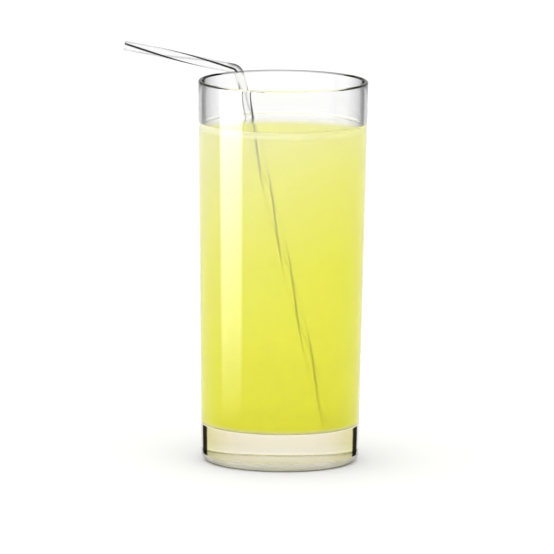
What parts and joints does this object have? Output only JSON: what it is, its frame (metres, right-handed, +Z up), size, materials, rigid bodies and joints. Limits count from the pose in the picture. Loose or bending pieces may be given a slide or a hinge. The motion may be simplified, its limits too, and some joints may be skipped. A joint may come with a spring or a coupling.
{
  "type": "glass of lemonade",
  "caption": "Tall clear tumbler with a thick base, filled with cloudy pale yellow lemonade, and a clear bent drinking straw leaning on the lip.",
  "frame": {"origin": "middle of the glass's foot, on the surface it stands on", "axes": "+Z up along the glass, +X to the drinker's right, +Y away from the drinker; the straw's arm points towards -X"},
  "size_m": [0.0955, 0.066, 0.1611],
  "materials": {
    "clear_glass": "polished",
    "cloudy_lemonade": "wet",
    "clear_straw": "polished"
  },
  "bodies": {
    "root": {"glass": "clear_glass", "lemonade": "cloudy_lemonade", "straw": "clear_straw"}
  },
  "joints": []
}
